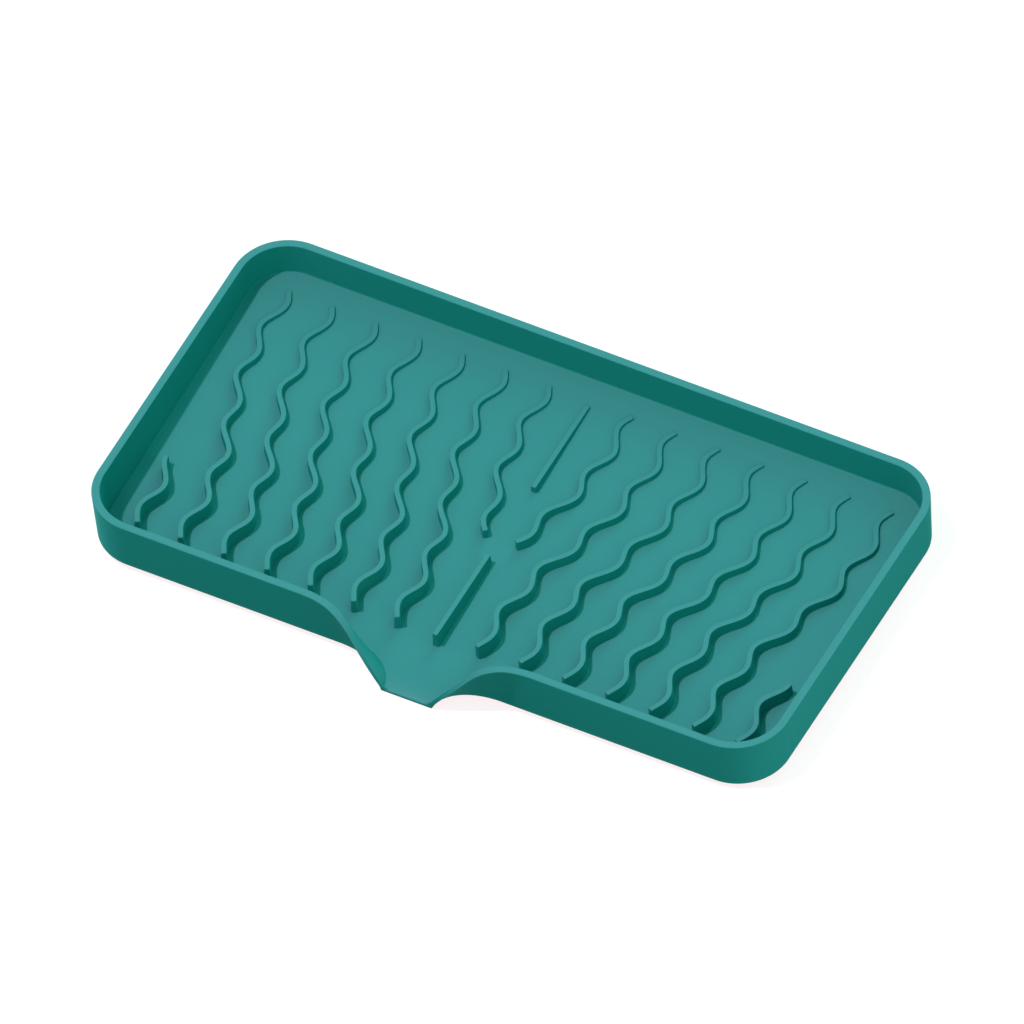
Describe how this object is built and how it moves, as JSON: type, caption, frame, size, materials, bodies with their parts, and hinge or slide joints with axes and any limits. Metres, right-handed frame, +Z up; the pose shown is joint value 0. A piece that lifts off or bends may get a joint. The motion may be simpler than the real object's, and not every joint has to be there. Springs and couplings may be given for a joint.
{
  "type": "self-draining soap tray",
  "caption": "Shallow rectangular silicone soap tray with rounded corners, wavy drain ribs on a sloping floor and a pouring spout in the middle of its front wall.",
  "frame": {"origin": "centre of the flat base plane, midway along the tray and midway between its front and back walls", "axes": "+X along the tray, to its right as seen from the spout; +Y from the spout towards the back wall; +Z up, out of the open top"},
  "size_m": [0.24, 0.1346, 0.0208],
  "materials": {
    "teal_silicone": "matte moulded silicone with a soft satin sheen, teal"
  },
  "bodies": {
    "root": {"soap_tray": "teal_silicone"}
  },
  "joints": []
}
